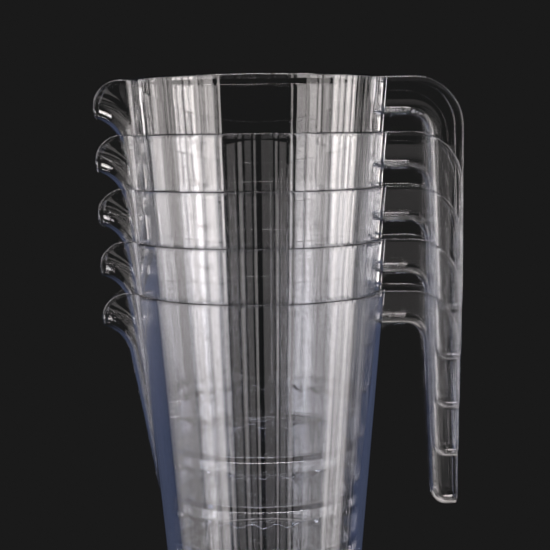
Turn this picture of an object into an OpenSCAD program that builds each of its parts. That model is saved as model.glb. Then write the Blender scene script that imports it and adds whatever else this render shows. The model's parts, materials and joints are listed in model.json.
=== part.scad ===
// Stack of nesting beer pitchers in clear plastic. Each pitcher is a tapered vessel with a scooped
// spout, a wavy stacking ledge inside its foot and a hooked channel handle.
// Millimetres. Z is the axis of the vessels and z = 0 is the face that the lowest foot stands on.
// Spouts point to -X and handles to +X. Depths are measured down from a pitcher's own rim.

/* [Stack] */
// Number of pitchers nested in the stack
pitchers = 5; // [2:1:8]
// Free gap between nested walls, square to them
nest_gap = 0.3; // [0.26:0.02:0.5]

/* [Vessel] */
// Outside diameter at the rim
rim_d = 135; // [130:0.5:142]
// Outside diameter at the foot
base_d = 105; // [101:0.5:109]
// Height from the foot to the rim
height = 200; // [185:1:215]
// Thickness of the wall, square to it
wall = 1.75; // [1.5:0.05:2.05]
// Thickness of the floor
floor_t = 2.5; // [2:0.1:4]

/* [Foot] */
// Radius of the foot's outer edge
foot_edge = 1.4; // [0.8:0.1:2]
// Width of the flat ring that the pitcher stands on
foot_land = 3; // [2.6:0.1:4]
// Depth of the hollow under the floor
foot_hollow = 6; // [3:0.5:9]
// Number of waves in the stacking ledge inside the foot
wave_count = 26; // [16:1:28]
// Depth of the waves
wave_depth = 2.5; // [1.5:0.1:3.5]
// How far the ledge reaches in under the next pitcher's foot
ledge_bearing = 2.2; // [1.6:0.1:2.5]

/* [Spout] */
// How far the spout's tip stands out from the rim
spout_reach = 18.4; // [15:0.2:21]
// Depth of the spout's tip below the rim
spout_drop = 19.6; // [18:0.2:23]
// Depth at which the trough runs out into the wall
trough_len = 118; // [100:1:125]
// Radius of the scoop's round bottom at the lip
scoop_r = 13.5; // [12:0.25:15]
// Radius of the trough where it runs out
trough_tip_r = 4; // [3:0.25:5]
// Radius of the flare under the lip
flare_r = 18; // [16:0.5:20]
// Angle through which the flare turns outward from upright
flare_end = 75; // [70:1:80]
// Corner radius of the lip, seen from the side
lip_r = 14; // [11:0.5:16]

/* [Handle] */
// Thickness of the handle's walls
handle_wall = 1.6; // [1.3:0.1:1.8]
// Room for fingers between the rim and the handle's leg
finger_room = 20.5; // [17:0.5:25]
// Depth of the arm below the rim
arm_depth = 19; // [16:0.5:22]
// Depth of the handle's bottom below the rim
handle_drop = 123; // [110:1:135]
// Half of the handle's width at the rim
handle_half_w = 17.5; // [17:0.25:20]
// How far the handle's top bend stands out from the rim
top_reach = 38.5; // [36:0.5:42]
// How far the handle's bottom corner stands out from the rim
bottom_reach = 41.5; // [40:0.5:46]
// Radius of the rounded edge along the grip
nose_r = 7; // [5:0.25:7.5]
// Radius of the inner bend between arm and leg
inner_bend = 10; // [8:0.5:12]
// Radius of the outer bend between arm and leg
outer_bend = 26; // [20:0.5:28]
// Radius of the bend between leg and bottom
bottom_bend = 10; // [9:0.5:12]
// Height of the gusset under the arm
gusset_h = 4; // [3:0.5:7]
// Thickness of the gusset
gusset_t = 5; // [3:0.5:8]

/* [Hidden] */
plastic = [0.78, 0.82, 0.88, 0.45];
over = 1;
round_fn = 96;
bend_steps = 8;
nose_steps = 5;

// Taper of the vessel, and the height that each pitcher adds to the stack
rim_r = rim_d / 2;
taper = (rim_d - base_d) / 2 / height;
slant = sqrt(1 + taper * taper);
step = (wall + nest_gap) * slant / taper;
floor_top = foot_hollow + floor_t;
function r_out(z) = base_d / 2 + taper * z;
function r_in(z) = r_out(z) - wall * slant;

// Foot: where its rounded edge meets the flat ring, and the ledge that carries the next foot, a hair
// below it
seat_gap = 0.02;
foot_r = r_out(foot_edge) - foot_edge * slant;
ledge_r = foot_r - ledge_bearing;
ledge_top = step - seat_gap;
// Round cuts that make the waves. They stop a little short of the wall
wave_r = 4.5;
wave_short = 0.3;

// Spout, as [distance from the axis, depth]: the flare's centre, the trough's end on the wall, and
// the middle of the scoop where flare and trough join
tip_x = rim_r + spout_reach;
flare_c = [tip_x + flare_r * cos(flare_end), spout_drop + flare_r * sin(flare_end)];
trough_end = [rim_r - taper * trough_len, trough_len];
to_flare = [flare_c.x - trough_end.x, trough_end.y - flare_c.y];
keel_lean = atan2(to_flare.x, to_flare.y) - asin(flare_r / norm(to_flare));
keel_in = [cos(keel_lean), sin(keel_lean)];
spine_r = flare_r + scoop_r;
scoop_c = flare_c - spine_r * keel_in;
tip_c = trough_end - trough_tip_r * keel_in;
trough_axis = [scoop_c.x - tip_c.x, tip_c.y - scoop_c.y];
trough_run = norm(trough_axis);
// The trough starts inside the wall and runs a little past the joint, and a little proud of the flare,
// so that the two cross
trough_lead = 3;
trough_past = 8;
trough_proud = 0.15;
trough_grow = (scoop_r + trough_proud - trough_tip_r) / trough_run;
// The lip's channel reaches past the rim from the flare's centre. Its flat sides open out, and start
// a little inside its round bottom, so that they cross it
channel_reach = 62;
side_draft = 0.2;
side_tuck = 0.2;

// Handle: lean of the leg and draft of its sides, so that one handle slides into the next
nest_slope = (handle_wall + nest_gap) / step;
splay = asin(nest_slope);
leg_n = [cos(splay), sin(splay)];
leg_dir = [sin(splay), -cos(splay)];
bend_c = [rim_r + finger_room - inner_bend, -arm_depth - inner_bend];
leg_drop = handle_drop - bottom_bend;
leg_run = (bend_c.y + (inner_bend + bottom_bend) * leg_n.y + leg_drop) / cos(splay);
bottom_c = bend_c + (inner_bend + bottom_bend) * leg_n + leg_run * leg_dir;
bottom_corner = [rim_r + bottom_reach, -handle_drop];
top_bend_c = [rim_r + top_reach - outer_bend, -outer_bend];
edge_dir = let (run = top_bend_c + [outer_bend, 0] - bottom_corner) run / norm(run);
// Spacing of the places on the free edge that the bottom bend is joined to
edge_pitch = 1;

module outer_profile() {
    lean = atan(taper);
    polygon([
        [0, 0],
        [foot_r, 0],
        [foot_r + foot_edge * cos(lean), foot_edge - foot_edge * sin(lean)],
        [rim_r, height],
        [0, height]
    ]);
    translate([foot_r, foot_edge]) circle(foot_edge, $fn = round_fn);
}

// A round space with the wall's own taper, from one height to another, less an inset all round
module inner_cone(z0, z1, inset) {
    translate([0, 0, z0])
        cylinder(h = z1 - z0, r1 = r_in(z0) - inset, r2 = r_in(z1) - inset, $fn = round_fn);
}

// Radial cuts that leave the ledge's waves standing
module wave_cuts() {
    start = ledge_r - over;
    for (i = [0:wave_count - 1])
        rotate([0, 90, i * 360 / wave_count])
            translate([wave_depth - wave_r - ledge_top, 0, start])
                cylinder(h = r_in(step) - start, r = wave_r, $fn = round_fn);
}

// The inside of the vessel, with the ledge left standing in its lowest part
module cavity() {
    inner_cone(ledge_top, height + over, 0);
    translate([0, 0, floor_top]) cylinder(h = step - floor_top, r = ledge_r, $fn = round_fn);
    intersection() {
        inner_cone(ledge_top - wave_r, step, wave_short);
        wave_cuts();
    }
}

module foot_recess() {
    translate([0, 0, -over]) cylinder(h = foot_hollow + over, r = foot_r - foot_land, $fn = round_fn);
}

// A shape drawn in side view, as [x, z], made wide enough to cut the whole pitcher
module from_side() {
    rotate([90, 0, 0]) linear_extrude(rim_d, center = true) children();
}

// Section of the lip's channel: a round bottom with flat sides
module channel_section(inset) {
    r = scoop_r - inset;
    start = [spine_r, r - side_tuck];
    end = [channel_reach, start.y + (channel_reach - start.x) * side_draft];
    translate([spine_r, 0]) circle(r, $fn = round_fn);
    polygon([start, end, [end.x, -end.y], [start.x, -start.y]]);
}

// The part of the side view above the joint between flare and trough
module above_joint() {
    behind_tip = 10;
    far = 2 * channel_reach;
    translate([-flare_c.x, height - flare_c.y])
        polygon([
            [0, 0],
            far * keel_in,
            far * [1, 1],
            far * [-sin(behind_tip), cos(behind_tip)]
        ]);
}

module lip_channel(inset) {
    intersection() {
        translate([-flare_c.x, 0, height - flare_c.y])
            rotate([90, 0, 0])
                rotate_extrude($fn = round_fn) channel_section(inset);
        from_side() above_joint();
    }
}

// Side view of the lip: level with the rim, then rounded down to the tip
module lip_outline() {
    translate([-tip_x, 0]) square([tip_x, height - lip_r]);
    translate([lip_r - tip_x, 0]) square([tip_x - lip_r, height]);
    translate([lip_r - tip_x, height - lip_r]) circle(lip_r, $fn = round_fn);
}

module trough(inset) {
    run = trough_lead + trough_run + trough_past;
    start_r = trough_tip_r - inset - trough_grow * trough_lead;
    translate([-tip_c.x, 0, height - tip_c.y])
        rotate([0, -atan2(trough_axis.x, trough_axis.y), 0])
            translate([0, 0, -trough_lead])
                cylinder(h = run, r1 = start_r, r2 = start_r + trough_grow * run, $fn = round_fn);
}

// Web in the corner between the handle's arm and the wall
module gusset() {
    top = height - arm_depth;
    root = r_out(top - gusset_h) - wall / 2;
    edge = r_out(top) + gusset_h;
    rotate([90, 0, 0])
        linear_extrude(gusset_t, center = true)
            polygon([[root, top], [root, top - (edge - root)], [edge, top]]);
}

module vessel(i) {
    color(plastic) translate([0, 0, (i - 1) * step])
        difference() {
            union() {
                rotate_extrude($fn = round_fn) outer_profile();
                trough(0);
                intersection() {
                    lip_channel(0);
                    from_side() lip_outline();
                }
                gusset();
            }
            cavity();
            trough(wall);
            lip_channel(wall);
            foot_recess();
        }
}

// Handle, in side view as [x, height above the rim]. The grip line runs along the underside of the
// arm, round the bend, down the leg and out along the bottom. Each station on it is a place and the
// direction from there into the handle.
function half_w(h) = handle_half_w + nest_slope * h;
function on_wall(y, h) = sqrt(pow(r_out(height + h), 2) - y * y);
grip_line = [
    for (k = [0:bend_steps])
        let (a = 90 - (90 - splay) * k / bend_steps, n = [cos(a), sin(a)])
            [bend_c + inner_bend * n, n],
    for (k = [0:bend_steps])
        let (a = splay + (90 - splay) * k / bend_steps, n = [cos(a), sin(a)])
            [bottom_c - bottom_bend * n, n],
    [bottom_corner, edge_dir]
];

// The free edge of the handle's sides, with a place for each station but the last
free_edge = [
    for (k = [0:bend_steps])
        let (a = 90 - 90 * k / bend_steps) top_bend_c + outer_bend * [cos(a), sin(a)],
    for (k = [bend_steps:-1:0])
        bottom_corner + (nose_r + edge_pitch * (k + 1)) * edge_dir
];

// Points across the handle at one station, on its outer face or, with t, on the face inside it
function nose(t, side) = [
    for (k = [0:nose_steps])
        let (a = 90 * (side > 0 ? k : nose_steps - k) / nose_steps)
            [nose_r - (nose_r - t) * sin(a), nose_r - (nose_r - t) * cos(a), side]
];
function across(t) = concat(nose(t, 1), nose(t, -1));
function ring(station, t) = [
    for (s = across(t))
        let (p = station[0] + s[0] * station[1])
            [p.x, s[2] * (half_w(p.y) - s[1]), height + p.y]
];
function root_ring(t) = [
    for (s = across(t))
        let (h = s[0] - arm_depth, y = s[2] * (half_w(h) - s[1]))
            [on_wall(y, h), y, height + h]
];
function edge_points(t, side) = [
    [on_wall(half_w(0) - t, 0), side * (half_w(0) - t), height],
    for (p = free_edge) [p.x, side * (half_w(p.y) - t), height + p.y]
];

module handle(i) {
    stations = len(grip_line) + 1;
    width = 2 * (nose_steps + 1);
    edge = len(free_edge) + 1;
    skin = stations * width;
    shell = skin + 2 * edge;
    points = [
        for (t = [0, handle_wall]) each concat(
            root_ring(t),
            [for (s = grip_line) each ring(s, t)],
            edge_points(t, 1),
            edge_points(t, -1)
        )
    ];
    last = width - 1;
    end = stations - 1;
    // The grip's skin, outside and inside
    grip = [
        for (s = [0:end - 1], k = [0:last - 1])
            let (a = s * width + k, b = a + width)
                each [[a, a + 1, b + 1, b], [shell + a, shell + b, shell + b + 1, shell + a + 1]]
    ];
    // The flat sides, from the grip to the free edge
    sides = [
        for (s = [0:end - 1])
            let (
                l = s * width,
                r = l + last,
                l_edge = skin + s,
                r_edge = skin + edge + s,
                on_left = s < end - 1 ? [l, l + width, l_edge + 1, l_edge] : [l, l + width, l_edge],
                on_right = s < end - 1 ? [r_edge, r_edge + 1, r + width, r] : [r_edge, r + width, r]
            )
                each [
                    on_left,
                    on_right,
                    [for (k = [len(on_left) - 1:-1:0]) on_left[k] + shell],
                    [for (k = [len(on_right) - 1:-1:0]) on_right[k] + shell]
                ]
    ];
    // The strip of wall thickness along the bottom, the free edges and the root
    border = concat(
        [for (k = [0:last]) end * width + k],
        [for (k = [edge - 1:-1:0]) skin + edge + k],
        [for (k = [last:-1:0]) k],
        [for (k = [0:edge - 1]) skin + k]
    );
    rim = [
        for (k = [0:len(border) - 1])
            let (a = border[k], b = border[(k + 1) % len(border)])
                [a, b, b + shell, a + shell]
    ];
    color(plastic) translate([0, 0, (i - 1) * step])
        polyhedron(points, concat(grip, sides, rim), convexity = 6);
}

for (i = [1:pitchers]) {
    vessel(i);
    handle(i);
}
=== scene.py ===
import json
import math

import bmesh
import bpy
import numpy as np
from mathutils import Matrix, Vector

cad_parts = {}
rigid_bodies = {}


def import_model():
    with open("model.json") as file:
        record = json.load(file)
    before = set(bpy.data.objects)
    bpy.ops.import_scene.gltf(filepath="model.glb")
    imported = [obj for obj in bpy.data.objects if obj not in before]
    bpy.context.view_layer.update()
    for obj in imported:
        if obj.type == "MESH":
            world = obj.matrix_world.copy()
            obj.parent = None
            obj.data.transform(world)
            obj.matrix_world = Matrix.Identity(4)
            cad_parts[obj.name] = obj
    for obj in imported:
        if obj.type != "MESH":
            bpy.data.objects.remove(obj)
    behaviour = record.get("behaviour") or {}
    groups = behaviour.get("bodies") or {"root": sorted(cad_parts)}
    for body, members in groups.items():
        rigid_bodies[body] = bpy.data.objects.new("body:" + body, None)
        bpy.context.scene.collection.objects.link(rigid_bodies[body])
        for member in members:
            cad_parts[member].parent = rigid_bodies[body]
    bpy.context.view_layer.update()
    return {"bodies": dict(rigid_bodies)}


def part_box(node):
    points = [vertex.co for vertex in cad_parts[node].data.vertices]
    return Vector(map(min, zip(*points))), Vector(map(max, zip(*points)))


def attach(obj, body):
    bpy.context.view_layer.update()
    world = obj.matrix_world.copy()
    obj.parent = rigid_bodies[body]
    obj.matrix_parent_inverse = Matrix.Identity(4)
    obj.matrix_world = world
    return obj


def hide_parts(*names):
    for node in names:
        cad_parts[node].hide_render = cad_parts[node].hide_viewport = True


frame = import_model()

# Sizes in millimetres, in one pitcher's own frame: z = 0 at its foot, spout to -X, handle to +X
MM = 0.001
COUNT = len(frame["bodies"])
HEIGHT = (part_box("vessel_1")[1].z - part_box("vessel_1")[0].z) / MM
STEP = (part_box("vessel_2")[0].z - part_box("vessel_1")[0].z) / MM
RIM_R = 67.5
BASE_R = 52.5
WALL = 1.75
EDGE_R = WALL / 2
NEST_GAP = 0.3
TAPER = (RIM_R - BASE_R) / HEIGHT
SLANT = math.hypot(1, TAPER)

# Foot and raised floor
FOOT_EDGE = 1.4
FOOT_LAND = 3.0
FOOT_HOLLOW = 6.0
HOLLOW_EDGE = 0.5
FLOOR_TOP = 8.5
FLOOR_FILLET = 1.2
FOOT_R = BASE_R + TAPER * FOOT_EDGE - FOOT_EDGE * SLANT

# Stacking ledge: the next foot rests on its waves, a hair above them so that no faces coincide
WAVE_COUNT = 26
WAVE_DEPTH = 2.5
LEDGE_INSET = 2.2
LEDGE_R = FOOT_R - LEDGE_INSET
LEDGE_ROUND = 0.5
LEDGE_GAP = 0.03
LEDGE_TOP = STEP - LEDGE_GAP
LEDGE_CLEAR = 0.4

# Spout
SPOUT_REACH = 18.4
SPOUT_DROP = 19.6
TROUGH_LEN = 118.0
TROUGH_TIP_R = 4.0
SCOOP_R = 13.5
FLARE_R = 18.0
FLARE_END = math.radians(75)
LIP_R = 14.0
SIDE_DRAFT = 0.2
SIDE_EASE = 2.0
SPINE_R = FLARE_R + SCOOP_R

# Fillet where the spout leaves the wall
FILLET_REACH = 2.2
FILLET_PASSES = 14

# How far the places where the spout meets the wall, the rim and the lip are searched for
SEARCH_BELOW = -5.0
SEARCH_RUN = 60.0
SEARCH_RIM = math.radians(85)
SEARCH_LIP = math.radians(100)

# Handle
HANDLE_WALL = 1.6
HANDLE_EDGE = HANDLE_WALL / 2
FINGER_ROOM = 20.5
ARM_DEPTH = 19.0
HANDLE_DROP = 123.0
HANDLE_HALF_W = 17.5
TOP_REACH = 38.5
BOTTOM_REACH = 41.5
NOSE_R = 7.0
INNER_BEND = 10.0
OUTER_BEND = 26.0
BOTTOM_BEND = 10.0
ROOT_SINK = 1.0
GUSSET_H = 4.0
GUSSET_T = 5.0
NEST_SLOPE = (HANDLE_WALL + NEST_GAP) / STEP
SPLAY = math.asin(NEST_SLOPE)

# How finely the meshes are divided, and in millimetres how near their points may come
BODY_COLS = 338
SPOUT_COLS = 24
BODY_ROWS = 14
TROUGH_ROWS = 44
FLARE_ROWS = 34
CAP_STEPS = 8
ROUND_STEPS = 6
FLOOR_ROWS = 8
LAND_ROWS = 5
LEDGE_ROWS = 5
BEND_STEPS = 18
LEG_STEPS = 16
ARM_STEPS = 6
NOSE_STEPS = 8
SIDE_STEPS = 8
FLAT_STEPS = 6
END_STEPS = (0.35, 0.7, 1.0)
EDGE_PITCH = 1.0
SEAM_PULL = 0.6
TROUGH_CROWD = 1.3
LIP_CROWD = 1.4
MERGE_DIST = 0.002
SLIVER_DIST = 0.001
SHARP_ANGLE = math.radians(35)

# Camera, from the photograph's perspective
LENS_MM = 81.8
SENSOR_MM = 36.0
CAMERA_AT = Vector((0.0064, -0.6836, 0.2830))
CAMERA_PITCH = 0.254
CAMERA_ROLL = -0.0119
CAMERA_SHIFT = 0.3288

# Clear plastic: what it takes up, and the flow lines in it, in metres
PLASTIC_IOR = 1.57
PLASTIC_TINT = (0.2, 0.28, 0.45, 1)
PLASTIC_DENSITY = 24.0
FLOW_ROUND = 400.0
FLOW_SCALE = 0.25
FLOW_DETAIL = 1.0
FLOW_APART = 60.0
FLOW_HEIGHT = 0.00003

# Floor under the stack, in metres. The stack stands a hair above it
PLINTH_R = 0.135
PLINTH_T = 0.03
PLINTH_SIDES = 192
PLINTH_ROUND = 0.004
PLINTH_ROUND_STEPS = 5
PLINTH_CORNER = 1.0
PLINTH_GAP = 0.0002
FLOOR_DARK = (0.66, 0.655, 0.64, 1)
FLOOR_PALE = (0.76, 0.75, 0.735, 1)
FLOOR_ROUGHNESS = 0.6
FLOOR_GRAIN = 900.0
FLOOR_DETAIL = 4.0
FLOOR_BUMP = 0.0001

# Dark backdrop, and how often light may turn on its way through the nested walls
BACKDROP = (0.0103, 0.0103, 0.0103, 1)
WALL_BOUNCES = 64
GLOSS_BOUNCES = 24

# Strip lights that stand round the stack, in metres. A fade is the heights where it starts and ends, and
# the share of the light left there
LIGHT_FAR = 1.3
LIGHT_LOW = -0.9
LIGHT_HIGH = 1.3
BACK_LOW = 0.0
BACK_HIGH = 0.65
FRONT_HIGH = 0.085
NEAR_FADE = (0.1, -0.3, 0.5)
SIDE_FADE = (0.45, -0.25, 0.3)
LIGHT_SPREAD = math.radians(100)
LIGHT_LEVEL = 0.385
WARM_WHITE = (1.0, 0.935, 0.915)
DEEP_BLUE = (0.42, 0.54, 1.0)

# Each strip's first and last azimuth in degrees from the camera, and its strength. Those behind the stack
# show in its middle, by way of the far wall and then the near one
NEAR_STRIPS = (
    (-32, -34, 2.8),
    (-39, -48, 2.5),
    (-49, -51, 1.4),
    (-52, -60, 2.8),
    (-61, -66, 2.3),
)
SIDE_STRIPS = (
    (-68, -84, 1.7),
    (-85, -88, 2.3),
    (-89.5, -108, 1.5),
    (42, 52, 1.5),
    (53.5, 56, 2.4),
    (57.5, 64, 1.7),
    (68, 74, 5.6),
    (75.5, 80, 5.0),
    (83, 88, 5.2),
    (90, 94.5, 5.4),
    (97, 98.5, 1.7),
    (102, 103, 1.2),
    (107, 109, 1.2),
    (113, 114, 1.2),
)
FRONT_STRIPS = (
    (-28, -21, 0.25),
    (-18, -15, 0.55),
    (-12, -7, 0.2),
    (-5, -3, 0.5),
    (2, 12.5, 0.18),
    (14, 16.5, 0.6),
    (18, 24, 0.25),
    (27, 30, 0.6),
    (33, 40, 0.3),
)
BACK_STRIPS = (
    (-127, -128, 2.5),
    (118, 119.5, 2.5),
    (122, 125, 3.5),
    (128.5, 130, 2.5),
    (135, 137, 3.5),
    (141, 144, 3.0),
    (158, 160, 3.0),
)

# Dim blue strips low behind the stack, which show in its silhouettes
RIM_LEFT = (-110, -157)
RIM_RIGHT = (116, 157)
RIM_STRENGTH = 0.11

# Two lights above the stack, in metres: one shows in glossy edges, the other lights only the floor
OVERHEAD_AT = (0, 0.35, 1.7)
OVERHEAD_AIM_Z = 0.25
OVERHEAD_SIZE = (1.2, 0.5)
OVERHEAD_STRENGTH = 15.0
FLOOR_STRENGTH = 7.0


def bisect(f, low, high, steps=50):
    """Where f, positive at low and negative at high, crosses zero. All three may be arrays."""
    low = np.array(low, float)
    high = np.array(high, float)
    for _ in range(steps):
        mid = (low + high) / 2
        above = f(mid) > 0
        low = np.where(above, mid, low)
        high = np.where(above, high, mid)
    return (low + high) / 2


def cone_r(z, inset):
    return BASE_R + TAPER * z - inset * SLANT


class Spout:
    """Side view of the spout as (distance from the axis, height): a straight trough, then a flare."""

    tip = np.array([RIM_R + SPOUT_REACH, HEIGHT - SPOUT_DROP])
    centre = tip + FLARE_R * np.array([math.cos(FLARE_END), -math.sin(FLARE_END)])
    end = np.array([RIM_R - TAPER * TROUGH_LEN, HEIGHT - TROUGH_LEN])
    run = centre - end
    lean = math.atan2(run[0], run[1]) - math.asin(FLARE_R / np.hypot(*run))
    along = np.array([math.sin(lean), math.cos(lean)])
    inward = np.array([-math.cos(lean), math.sin(lean)])
    joint = centre + FLARE_R * inward
    length = float((joint - end) @ along)

    @classmethod
    def trough(cls, s, a, inset):
        """A point of the trough's skin, s along its keel and at angle a round its section."""
        big = TROUGH_TIP_R + (SCOOP_R - TROUGH_TIP_R) * s / cls.length
        r = big - inset
        reach = big - r * np.cos(a)
        d = cls.end[0] + s * cls.along[0] + reach * cls.inward[0]
        z = cls.end[1] + s * cls.along[1] + reach * cls.inward[1]
        return d, z, r * np.sin(a)

    @staticmethod
    def section(run, inset):
        """Distance from the flare's centre and half-width, at a run across its section from the keel."""
        r = SCOOP_R - inset
        quarter = r * math.pi / 2
        a = np.minimum(run, quarter) / r
        past = np.maximum(run - quarter, 0)
        rho = SPINE_R - r * np.cos(a) + past
        half = r * np.sin(a) + SIDE_DRAFT * past * past / (past + SIDE_EASE)
        return rho, half

    @classmethod
    def flare(cls, rho, phi):
        return cls.centre[0] - rho * np.cos(phi), cls.centre[1] + rho * np.sin(phi)

    @classmethod
    def lip_angle(cls, rho):
        """Angle at which a line of the flare runs out at the lip, seen from the side."""
        corner = np.array([cls.tip[0] - LIP_R, HEIGHT - LIP_R])
        reach = LIP_R - EDGE_R

        def room(phi):
            d, z = cls.flare(rho, phi)
            x = d - corner[0]
            y = z - corner[1]
            rounded = np.hypot(np.maximum(x, 0), np.maximum(y, 0))
            return reach - np.where((x > 0) & (y > 0), rounded, np.maximum(x, y))

        return bisect(room, np.full_like(rho, cls.lean), np.full_like(rho, SEARCH_LIP))


def body_share():
    """Places of the body's columns from 0 to 1, closer together near the seam at the spout."""
    share = np.linspace(0, 1, BODY_COLS + 1)
    return share - SEAM_PULL * np.sin(2 * math.pi * share) / (2 * math.pi)


def spread(n):
    """Places from 0 to 1, closer together near 1."""
    u = np.linspace(0, 1, n + 1)
    return 1 - (1 - u) ** LIP_CROWD


def skin_rows(inset, z_low):
    """Rings of the vessel's outer or inner skin, from z_low to the rim and lip, with the spout in them."""
    s = Spout

    def out_of_cone(d, z, y):
        return np.hypot(d, y) - cone_r(z, inset)

    def keel_in_wall(run):
        d, z, _ = s.trough(run, 0.0, inset)
        return cone_r(z, inset) - d

    start = float(bisect(keel_in_wall, SEARCH_BELOW, s.length))
    run_s = start + (s.length - start) * np.linspace(0, 1, TROUGH_ROWS + 1) ** TROUGH_CROWD
    trough_a = bisect(lambda a: out_of_cone(*s.trough(run_s, a, inset)), np.zeros_like(run_s),
                      np.full_like(run_s, math.pi / 2))
    trough_a[0] = 0

    def flare_run(phi):
        def f(run):
            rho, half = s.section(run, inset)
            d, z = s.flare(rho, phi)
            return out_of_cone(d, z, half)
        return bisect(f, np.zeros_like(phi), np.full_like(phi, SEARCH_RUN))

    def below_rim(phi):
        rho, _ = s.section(flare_run(phi), inset)
        return HEIGHT - EDGE_R - s.flare(rho, phi)[1]

    corner = bisect(below_rim, np.array([s.lean]), np.array([SEARCH_RIM]))
    q = np.linspace(0, 1, FLARE_ROWS + 1)[1:]
    phi_end = s.lean + q * (corner - s.lean)
    run_end = flare_run(phi_end)
    across = spread(SPOUT_COLS)
    lip_rho, _ = s.section(across * run_end[-1], inset)
    lip_phi = s.lip_angle(lip_rho)

    half_rows = [s.trough(run_s[k], trough_a[k] * across, inset) for k in range(len(run_s))]
    for k in range(len(q)):
        rho, half = s.section(across * run_end[k], inset)
        d, z = s.flare(rho, s.lean + q[k] * (lip_phi - s.lean))
        half_rows.append((d, z, half))

    share = body_share()
    z_start = half_rows[0][1][-1]
    rows = []
    for z in np.linspace(z_low, z_start, BODY_ROWS + 1)[:-1]:
        rows.append(ring(np.full(BODY_COLS + 1, cone_r(z, inset)), np.full(BODY_COLS + 1, z), share))
    for d, z, half in half_rows:
        d, z, half = (np.asarray(v, float) for v in (d, z, half))
        edge = math.atan2(half[-1], d[-1])
        theta = edge + (2 * math.pi - 2 * edge) * share
        r = math.hypot(d[-1], half[-1])
        body = np.stack([-r * np.cos(theta), r * np.sin(theta), np.full_like(theta, z[-1])], axis=1)
        right = np.stack([-d, half, z], axis=1)
        left = np.stack([-d, -half, z], axis=1)
        spout = np.concatenate([left[-2::-1], right[1:-1]])
        rows.append(fillet(np.concatenate([body, spout])))
    return rows


def ring(r, z, share):
    """A closed ring with the spout's columns gathered at its seam."""
    theta = 2 * math.pi * share
    body = np.stack([-r * np.cos(theta), r * np.sin(theta), z], axis=1)
    seam = np.repeat(body[:1], 2 * SPOUT_COLS - 1, axis=0)
    return np.concatenate([body, seam])


def fillet(row):
    """Rounds a ring where the spout leaves the body, by smoothing it near its two creases."""
    crease = row[[0, BODY_COLS]]
    gap = np.min(np.linalg.norm(row[:, None, :] - crease[None, :, :], axis=2), axis=1)
    weight = 0.5 * np.exp(-(gap / FILLET_REACH) ** 2)[:, None]
    for _ in range(FILLET_PASSES):
        middle = (np.roll(row, 1, axis=0) + np.roll(row, -1, axis=0)) / 2
        row = row + weight * (middle - row)
    return row


def level(r, z):
    """A round ring. r and z may vary round it."""
    share = body_share()
    r = np.broadcast_to(np.asarray(r, float), share.shape)
    return ring(r, np.broadcast_to(np.asarray(z, float), share.shape), share)


def foot_rows():
    """Underside of the foot, from its middle out to the wall."""
    land = FOOT_R - FOOT_LAND
    rows = [level(r, FOOT_HOLLOW) for r in np.linspace(0, land - HOLLOW_EDGE, FLOOR_ROWS)]
    for k in range(1, ROUND_STEPS + 1):
        a = math.pi / 2 * k / ROUND_STEPS
        r = land - HOLLOW_EDGE * (1 - math.sin(a))
        rows.append(level(r, FOOT_HOLLOW - HOLLOW_EDGE * (1 - math.cos(a))))
    for k in range(ROUND_STEPS):
        a = math.pi / 2 * k / ROUND_STEPS
        rows.append(level(land + HOLLOW_EDGE * (1 - math.cos(a)), HOLLOW_EDGE * (1 - math.sin(a))))
    lean = math.atan(TAPER)
    rows += [level(r, 0) for r in np.linspace(land + HOLLOW_EDGE, FOOT_R, LAND_ROWS)]
    for k in range(1, ROUND_STEPS + 1):
        a = (math.pi / 2 - lean) * k / ROUND_STEPS
        rows.append(level(FOOT_R + FOOT_EDGE * math.sin(a), FOOT_EDGE * (1 - math.cos(a))))
    return rows


def ledge_rows():
    """From the wall above the stacking ledge, over its waves, down to the floor and across it."""
    wave = 0.5 - 0.5 * np.cos(2 * math.pi * WAVE_COUNT * body_share())
    top = LEDGE_TOP - WAVE_DEPTH * wave
    wall = cone_r(top, WALL)
    rows = [level(wall, top)]
    rows.append(level((wall + LEDGE_R + LEDGE_ROUND) / 2, top))
    for k in range(ROUND_STEPS + 1):
        a = math.pi / 2 * k / ROUND_STEPS
        rows.append(level(LEDGE_R + LEDGE_ROUND * (1 - math.sin(a)), top - LEDGE_ROUND * (1 - math.cos(a))))
    low = FLOOR_TOP + FLOOR_FILLET
    for f in np.linspace(0, 1, LEDGE_ROWS + 1)[1:]:
        rows.append(level(LEDGE_R, (top - LEDGE_ROUND) * (1 - f) + low * f))
    for k in range(1, ROUND_STEPS + 1):
        a = math.pi / 2 * k / ROUND_STEPS
        r = LEDGE_R - FLOOR_FILLET * (1 - math.cos(a))
        rows.append(level(r, FLOOR_TOP + FLOOR_FILLET * (1 - math.sin(a))))
    inner = LEDGE_R - FLOOR_FILLET
    rows += [level(inner * f, FLOOR_TOP) for f in np.linspace(1, 0, FLOOR_ROWS)[1:]]
    return rows


def cap_rows(outer, inner):
    """The rounded edge between the skins, along the rim and the lip."""
    middle = (outer + inner) / 2
    half = (outer - inner) / 2
    tangent = np.roll(outer, -1, axis=0) - np.roll(outer, 1, axis=0)
    up = np.cross(tangent, half)
    up /= np.linalg.norm(up, axis=1)[:, None]
    up *= np.minimum(np.linalg.norm(half, axis=1), EDGE_R)[:, None]
    angles = math.pi * np.arange(1, CAP_STEPS) / CAP_STEPS
    return [middle + half * math.cos(a) + up * math.sin(a) for a in angles]


def grid_faces(rows, cols, wrap, offset=0, flip=False):
    """Quads of a grid of points, row after row."""
    i, j = np.meshgrid(np.arange(rows - 1), np.arange(cols if wrap else cols - 1), indexing="ij")
    k = (j + 1) % cols
    here = i * cols
    above = (i + 1) * cols
    quads = np.stack([here + j, here + k, above + k, above + j], axis=-1).reshape(-1, 4)
    if flip:
        quads = quads[:, ::-1]
    return quads + offset


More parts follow.
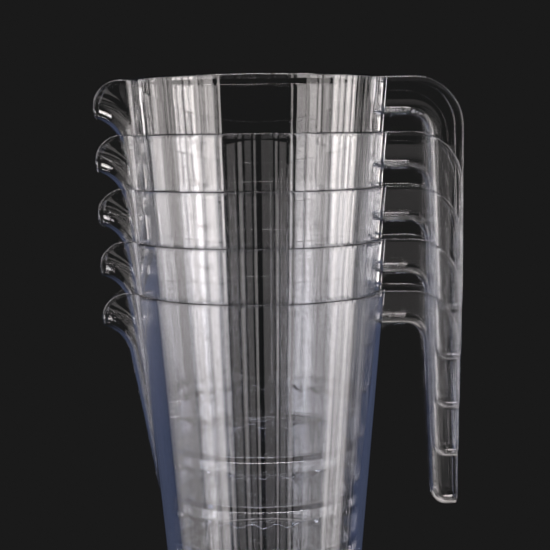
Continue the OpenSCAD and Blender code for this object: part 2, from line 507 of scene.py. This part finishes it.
def new_mesh(name, points, faces):
    mesh = bpy.data.meshes.new(name)
    mesh.from_pydata((np.asarray(points) * MM).tolist(), [], [list(map(int, f)) for f in faces])
    mesh.update()
    return mesh


def vessel_mesh():
    outer = skin_rows(0.0, FOOT_EDGE * (1 + TAPER))
    inner = skin_rows(WALL, LEDGE_TOP + LEDGE_CLEAR)
    rows = foot_rows() + outer + cap_rows(outer[-1], inner[-1]) + inner[::-1] + ledge_rows()
    points = np.concatenate(rows)
    return new_mesh("vessel", points, grid_faces(len(rows), len(rows[0]), True, flip=True))


def half_width(h):
    return HANDLE_HALF_W + NEST_SLOPE * h


def handle_stations():
    """Places along the grip, each with the direction into the handle and its place on the free edge."""
    bend = np.array([RIM_R + FINGER_ROOM - INNER_BEND, -ARM_DEPTH - INNER_BEND])
    leg_n = np.array([math.cos(SPLAY), math.sin(SPLAY)])
    leg_dir = np.array([math.sin(SPLAY), -math.cos(SPLAY)])
    bends = INNER_BEND + BOTTOM_BEND
    run = (bend[1] + bends * leg_n[1] + HANDLE_DROP - BOTTOM_BEND) / math.cos(SPLAY)
    low = bend + bends * leg_n + run * leg_dir
    corner = np.array([RIM_R + BOTTOM_REACH, -HANDLE_DROP])
    top = np.array([RIM_R + TOP_REACH - OUTER_BEND, -OUTER_BEND])
    edge = top + np.array([OUTER_BEND, 0]) - corner
    edge /= np.linalg.norm(edge)
    outward = np.array([edge[1], -edge[0]])
    corner = corner - HANDLE_EDGE * outward
    stations = []
    for k in range(BEND_STEPS + 1):
        f = k / BEND_STEPS
        a = math.pi / 2 - (math.pi / 2 - SPLAY) * f
        n = np.array([math.cos(a), math.sin(a)])
        b = math.pi / 2 * (1 - f)
        free = top + (OUTER_BEND - HANDLE_EDGE) * np.array([math.cos(b), math.sin(b)])
        stations.append((bend + INNER_BEND * n, n, free))
    bottom = []
    for k in range(BEND_STEPS + 1):
        a = SPLAY + (math.pi / 2 - SPLAY) * k / BEND_STEPS
        n = np.array([math.cos(a), math.sin(a)])
        along = NOSE_R + EDGE_PITCH * (2 + BEND_STEPS - k)
        bottom.append((low - BOTTOM_BEND * n, n, corner + along * edge))
    first, last = stations[-1], bottom[0]
    for k in range(1, LEG_STEPS):
        f = k / LEG_STEPS
        stations.append(tuple(p + f * (q - p) for p, q in zip(first, last)))
    stations += bottom
    end = (corner, edge, corner + (NOSE_R + EDGE_PITCH) * edge)
    first = bottom[-1]
    stations += [tuple(p + f * (q - p) for p, q in zip(first, end)) for f in END_STEPS]
    return stations


def handle_row(station, t):
    """Points across the handle at a station, t inside its outer face, from one free edge to the other."""
    place, n, free = station
    nose_end = place + NOSE_R * n
    half = []
    for f in np.linspace(0, 1, SIDE_STEPS + 1)[:-1]:
        p = free + f * (nose_end - free)
        half.append((p, half_width(p[1]) - t))
    for k in range(NOSE_STEPS + 1):
        b = math.pi / 2 * k / NOSE_STEPS
        p = place + (NOSE_R - (NOSE_R - t) * math.sin(b)) * n
        half.append((p, half_width(p[1]) - NOSE_R + (NOSE_R - t) * math.cos(b)))
    p, y = half[-1]
    flat = [(p, y * (1 - 2 * k / FLAT_STEPS)) for k in range(1, FLAT_STEPS)]
    pts = half + flat + [(p, -y) for p, y in reversed(half)]
    return np.array([[p[0], y, HEIGHT + p[1]] for p, y in pts])


def handle_grid(t):
    rows = [handle_row(s, t) for s in handle_stations()]
    root = rows[0].copy()
    root[:, 0] = np.sqrt(cone_r(root[:, 2], 0.0) ** 2 - root[:, 1] ** 2) - ROOT_SINK
    arm = [root + f * (rows[0] - root) for f in np.linspace(0, 1, ARM_STEPS + 1)[:-1]]
    return np.array(arm + rows)


def handle_mesh():
    outer = handle_grid(0.0)
    inner = handle_grid(HANDLE_WALL)
    m, n = outer.shape[:2]
    points = [outer.reshape(-1, 3), inner.reshape(-1, 3)]
    faces = list(grid_faces(m, n, False)) + list(grid_faces(m, n, False, m * n, True))
    border = [(i, 0) for i in range(m)]
    border += [(m - 1, j) for j in range(1, n)]
    border += [(i, n - 1) for i in range(m - 2, -1, -1)]
    index = np.array([i * n + j for i, j in border])
    o = points[0][index]
    i = points[1][index]
    middle = (o + i) / 2
    half = (o - i) / 2
    tangent = np.gradient(o, axis=0)
    side = np.cross(tangent, half)
    side /= np.linalg.norm(side, axis=1)[:, None]
    side *= np.linalg.norm(half, axis=1)[:, None]
    angles = math.pi * np.arange(1, CAP_STEPS) / CAP_STEPS
    rounded = np.stack([middle + half * math.cos(a) + side * math.sin(a) for a in angles], axis=1)
    base = 2 * m * n
    points.append(rounded.reshape(-1, 3))
    ids = base + np.arange(rounded.shape[0] * rounded.shape[1]).reshape(rounded.shape[:2])
    ids = np.concatenate([index[:, None], ids, (index + m * n)[:, None]], axis=1)
    for a, b in zip(ids[:-1], ids[1:]):
        faces += [[a[k], a[k + 1], b[k + 1], b[k]] for k in range(len(a) - 1)]
    faces += [[j + 1, j, m * n + j, m * n + j + 1] for j in range(n - 1)]
    faces.append(list(ids[0][::-1]))
    faces.append(list(ids[-1]))
    return new_mesh("handle", np.concatenate(points), faces)


def gusset_mesh():
    """Web in the corner between the handle's arm and the wall."""
    top = HEIGHT - ARM_DEPTH + HANDLE_EDGE
    under = HEIGHT - ARM_DEPTH
    root = cone_r(under - GUSSET_H, 0.0) - ROOT_SINK
    edge = cone_r(under, 0.0) + GUSSET_H
    side = [(root, under - (edge - root)), (edge, under), (edge, top), (root, top)]
    y = GUSSET_T / 2
    points = [(x, -y, z) for x, z in side] + [(x, y, z) for x, z in side]
    n = len(side)
    faces = [list(range(n)), [n + k for k in reversed(range(n))]]
    faces += [[k, n + k, n + (k + 1) % n, (k + 1) % n] for k in range(n)]
    return new_mesh("gusset", points, faces)


def clean(mesh):
    """Merges the points that a seam or a middle gathers, and turns all faces outward."""
    bm = bmesh.new()
    bm.from_mesh(mesh)
    bmesh.ops.remove_doubles(bm, verts=bm.verts, dist=MERGE_DIST * MM)
    bmesh.ops.dissolve_degenerate(bm, edges=bm.edges, dist=SLIVER_DIST * MM)
    bmesh.ops.recalc_face_normals(bm, faces=bm.faces)
    open_edges = sum(1 for e in bm.edges if not e.is_manifold)
    volume = bm.calc_volume(signed=True) / MM ** 3
    bm.to_mesh(mesh)
    bm.free()
    print(f"mesh {mesh.name} {len(mesh.vertices)} points, {open_edges} open edges, {volume:.1f} mm3")
    return mesh


def add(name, mesh):
    obj = bpy.data.objects.new(name, mesh)
    bpy.context.scene.collection.objects.link(obj)
    return obj


def united(parts):
    """One moulding made of closed parts that run into each other."""
    first = parts[0]
    for other in parts[1:]:
        m = first.modifiers.new("union", "BOOLEAN")
        m.operation = "UNION"
        m.solver = "EXACT"
        m.object = other
    bpy.context.view_layer.update()
    depsgraph = bpy.context.evaluated_depsgraph_get()
    mesh = bpy.data.meshes.new_from_object(first.evaluated_get(depsgraph))
    for p in parts:
        bpy.data.objects.remove(p)
    return mesh


def pitcher_mesh():
    meshes = (vessel_mesh(), handle_mesh(), gusset_mesh())
    mesh = united([add(m.name, clean(m)) for m in meshes])
    mesh.name = "pitcher"
    clean(mesh)
    mesh.shade_smooth()
    mesh.set_sharp_from_angle(angle=SHARP_ANGLE)
    return mesh


def multiplied(tree, socket, factor):
    """A socket's value times a number, in a node tree."""
    node = tree.nodes.new("ShaderNodeMath")
    node.operation = "MULTIPLY"
    node.inputs[1].default_value = factor
    tree.links.new(socket, node.inputs[0])
    return node.outputs["Value"]


def clear_plastic():
    """Clear moulded plastic that takes up a little light, with faint vertical flow lines in the wall."""
    mat = bpy.data.materials.new("clear_plastic")
    mat.use_nodes = True
    tree = mat.node_tree
    nodes = tree.nodes
    link = tree.links.new
    shader = nodes["Principled BSDF"]
    shader.inputs["Base Color"].default_value = (1, 1, 1, 1)
    shader.inputs["Transmission Weight"].default_value = 1.0
    shader.inputs["IOR"].default_value = PLASTIC_IOR
    shader.inputs["Roughness"].default_value = 0.0
    volume = nodes.new("ShaderNodeVolumeAbsorption")
    volume.inputs["Color"].default_value = PLASTIC_TINT
    volume.inputs["Density"].default_value = PLASTIC_DENSITY
    link(volume.outputs["Volume"], nodes["Material Output"].inputs["Volume"])

    place = nodes.new("ShaderNodeTexCoord")
    turn = nodes.new("ShaderNodeTexGradient")
    turn.gradient_type = "RADIAL"
    link(place.outputs["Object"], turn.inputs["Vector"])
    split = nodes.new("ShaderNodeSeparateXYZ")
    link(place.outputs["Object"], split.inputs["Vector"])
    lines_at = nodes.new("ShaderNodeCombineXYZ")
    link(multiplied(tree, turn.outputs["Fac"], FLOW_ROUND), lines_at.inputs["X"])
    link(split.outputs["Z"], lines_at.inputs["Z"])
    which = nodes.new("ShaderNodeObjectInfo")
    lines = nodes.new("ShaderNodeTexNoise")
    lines.noise_dimensions = "4D"
    lines.inputs["Scale"].default_value = FLOW_SCALE
    lines.inputs["Detail"].default_value = FLOW_DETAIL
    link(lines_at.outputs["Vector"], lines.inputs["Vector"])
    link(multiplied(tree, which.outputs["Random"], FLOW_APART), lines.inputs["W"])
    bump = nodes.new("ShaderNodeBump")
    bump.inputs["Strength"].default_value = 1.0
    bump.inputs["Distance"].default_value = FLOW_HEIGHT
    link(lines.outputs["Fac"], bump.inputs["Height"])
    link(bump.outputs["Normal"], shader.inputs["Normal"])
    return mat


def aim(obj, at, target):
    obj.location = at
    obj.rotation_euler = (Vector(target) - Vector(at)).to_track_quat("-Z", "Y").to_euler()


def camera():
    data = bpy.data.cameras.new("camera")
    data.lens = LENS_MM
    data.sensor_width = SENSOR_MM
    data.sensor_fit = "AUTO"
    data.shift_y = CAMERA_SHIFT
    obj = bpy.data.objects.new("camera", data)
    bpy.context.scene.collection.objects.link(obj)
    turn = Matrix.Rotation(math.pi / 2 - CAMERA_PITCH, 4, "X") @ Matrix.Rotation(CAMERA_ROLL, 4, "Z")
    obj.matrix_world = Matrix.Translation(CAMERA_AT) @ turn
    bpy.context.scene.camera = obj


def panel(name, at, target, size, strength, colour):
    """A soft panel light of a width and a height, which the camera itself doesn't see."""
    data = bpy.data.lights.new(name, "AREA")
    data.shape = "RECTANGLE"
    data.size, data.size_y = size
    data.color = colour
    data.spread = LIGHT_SPREAD
    data.energy = LIGHT_LEVEL * strength * math.pi * size[0] * size[1]
    obj = bpy.data.objects.new(name, data)
    bpy.context.scene.collection.objects.link(obj)
    aim(obj, at, target)
    obj.visible_camera = False
    return obj


def not_through(light):
    """Keeps a panel unseen through clear plastic too: only rays that were mirrored somewhere meet it. Gives
    the socket of its strength."""
    light.use_nodes = True
    nodes = light.node_tree.nodes
    link = light.node_tree.links.new
    path = nodes.new("ShaderNodeLightPath")
    mirrored = nodes.new("ShaderNodeMath")
    mirrored.operation = "GREATER_THAN"
    mirrored.inputs[1].default_value = 0.5
    link(path.outputs["Glossy Depth"], mirrored.inputs[0])
    strength = nodes.new("ShaderNodeMath")
    strength.operation = "MULTIPLY"
    strength.inputs[1].default_value = 1.0
    link(mirrored.outputs["Value"], strength.inputs[0])
    link(strength.outputs["Value"], nodes["Emission"].inputs["Strength"])
    return strength.inputs[1]


def fade_down(light, low, high, fade, socket):
    """Dims a panel, which stands between two heights, towards its lower end."""
    nodes = light.node_tree.nodes
    link = light.node_tree.links.new
    place = nodes.new("ShaderNodeNewGeometry")
    split = nodes.new("ShaderNodeSeparateXYZ")
    link(place.outputs["Parametric"], split.inputs["Vector"])
    ramp = nodes.new("ShaderNodeMapRange")
    ramp.interpolation_type = "SMOOTHSTEP"
    start, end, share = fade
    ramp.inputs["From Min"].default_value = (end - low) / (high - low)
    ramp.inputs["From Max"].default_value = (start - low) / (high - low)
    ramp.inputs["To Min"].default_value = share
    ramp.inputs["To Max"].default_value = 1.0
    link(split.outputs["Y"], ramp.inputs["Value"])
    link(ramp.outputs["Result"], socket)


def strip(name, start, end, strength, colour, low, high):
    """An upright strip light that faces the stack's axis, between two azimuths in degrees from the camera
    and two heights."""
    turn = math.radians((start + end) / 2)
    width = 2 * LIGHT_FAR * math.tan(math.radians(abs(end - start) / 2))
    z = (low + high) / 2
    at = (LIGHT_FAR * math.sin(turn), -LIGHT_FAR * math.cos(turn), z)
    return panel(name, at, (0, 0, z), (width, high - low), strength, colour)


def lights():
    """Strips of soft light round the stack, dim blue ones low behind it, dim ones low in front of it, a
    panel overhead, and another there that lights only the floor."""
    for group, fade in ((NEAR_STRIPS, NEAR_FADE), (SIDE_STRIPS, SIDE_FADE)):
        for start, end, strength in group:
            obj = strip(f"side_{start}", start, end, strength, WARM_WHITE, LIGHT_LOW, LIGHT_HIGH)
            fade_down(obj.data, LIGHT_LOW, LIGHT_HIGH, fade, not_through(obj.data))
    for start, end, strength in BACK_STRIPS:
        obj = strip(f"back_{start}", start, end, strength, WARM_WHITE, BACK_LOW, BACK_HIGH)
        not_through(obj.data)
    strip("rim_left", *RIM_LEFT, RIM_STRENGTH, DEEP_BLUE, LIGHT_LOW, BACK_LOW)
    strip("rim_right", *RIM_RIGHT, RIM_STRENGTH, DEEP_BLUE, LIGHT_LOW, BACK_LOW)
    for start, end, strength in FRONT_STRIPS:
        obj = strip(f"front_{start}", start, end, strength, WARM_WHITE, LIGHT_LOW, FRONT_HIGH)
        not_through(obj.data)
    target = (0, 0, OVERHEAD_AIM_Z)
    over = panel("overhead", OVERHEAD_AT, target, OVERHEAD_SIZE, OVERHEAD_STRENGTH, WARM_WHITE)
    over.visible_diffuse = False
    not_through(over.data)
    floor = panel("floor", OVERHEAD_AT, (0, 0, 0), OVERHEAD_SIZE, FLOOR_STRENGTH, WARM_WHITE)
    floor.visible_glossy = False
    floor.visible_transmission = False


def table():
    """A plain pale floor: a low round plinth that the photograph's frame leaves out."""
    mesh = bpy.data.meshes.new("floor")
    bm = bmesh.new()
    bmesh.ops.create_cone(bm, cap_ends=True, segments=PLINTH_SIDES, radius1=PLINTH_R, radius2=PLINTH_R,
                          depth=PLINTH_T)
    bmesh.ops.translate(bm, verts=bm.verts, vec=(0, 0, -PLINTH_T / 2 - PLINTH_GAP))
    edges = [e for e in bm.edges if len(e.link_faces) == 2 and e.calc_face_angle() > PLINTH_CORNER]
    bmesh.ops.bevel(bm, geom=edges, offset=PLINTH_ROUND, segments=PLINTH_ROUND_STEPS, affect="EDGES",
                    profile=0.5)
    for face in bm.faces:
        face.smooth = len(face.verts) == 4
    bm.to_mesh(mesh)
    bm.free()
    obj = add("floor", mesh)
    mat = bpy.data.materials.new("floor")
    mat.use_nodes = True
    nodes = mat.node_tree.nodes
    link = mat.node_tree.links.new
    shader = nodes["Principled BSDF"]
    shader.inputs["Roughness"].default_value = FLOOR_ROUGHNESS
    place = nodes.new("ShaderNodeTexCoord")
    grain = nodes.new("ShaderNodeTexNoise")
    grain.inputs["Scale"].default_value = FLOOR_GRAIN
    grain.inputs["Detail"].default_value = FLOOR_DETAIL
    link(place.outputs["Object"], grain.inputs["Vector"])
    tone = nodes.new("ShaderNodeMix")
    tone.data_type = "RGBA"
    tone.inputs["A"].default_value = FLOOR_DARK
    tone.inputs["B"].default_value = FLOOR_PALE
    link(grain.outputs["Fac"], tone.inputs["Factor"])
    link(tone.outputs["Result"], shader.inputs["Base Color"])
    bump = nodes.new("ShaderNodeBump")
    bump.inputs["Distance"].default_value = FLOOR_BUMP
    link(grain.outputs["Fac"], bump.inputs["Height"])
    link(bump.outputs["Normal"], shader.inputs["Normal"])
    mesh.materials.append(mat)


def world():
    w = bpy.data.worlds.new("studio")
    bpy.context.scene.world = w
    w.use_nodes = True
    back = w.node_tree.nodes["Background"]
    back.inputs["Color"].default_value = BACKDROP
    back.inputs["Strength"].default_value = 1.0


def render_depth():
    """Enough bounces for light to pass all the nested walls."""
    cycles = bpy.context.scene.cycles
    cycles.max_bounces = WALL_BOUNCES
    cycles.transmission_bounces = WALL_BOUNCES
    cycles.glossy_bounces = GLOSS_BOUNCES
    cycles.transparent_max_bounces = WALL_BOUNCES
    cycles.use_denoising = True
    bpy.context.scene.view_settings.view_transform = "Standard"


camera()
lights()
table()
world()
render_depth()
moulding = pitcher_mesh()
moulding.materials.clear()
moulding.materials.append(clear_plastic())
for k in range(1, COUNT + 1):
    piece = add(f"pitcher_{k}_moulding", moulding)
    piece.location.z = (k - 1) * STEP * MM
    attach(piece, f"pitcher_{k}")
    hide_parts(f"vessel_{k}", f"handle_{k}")
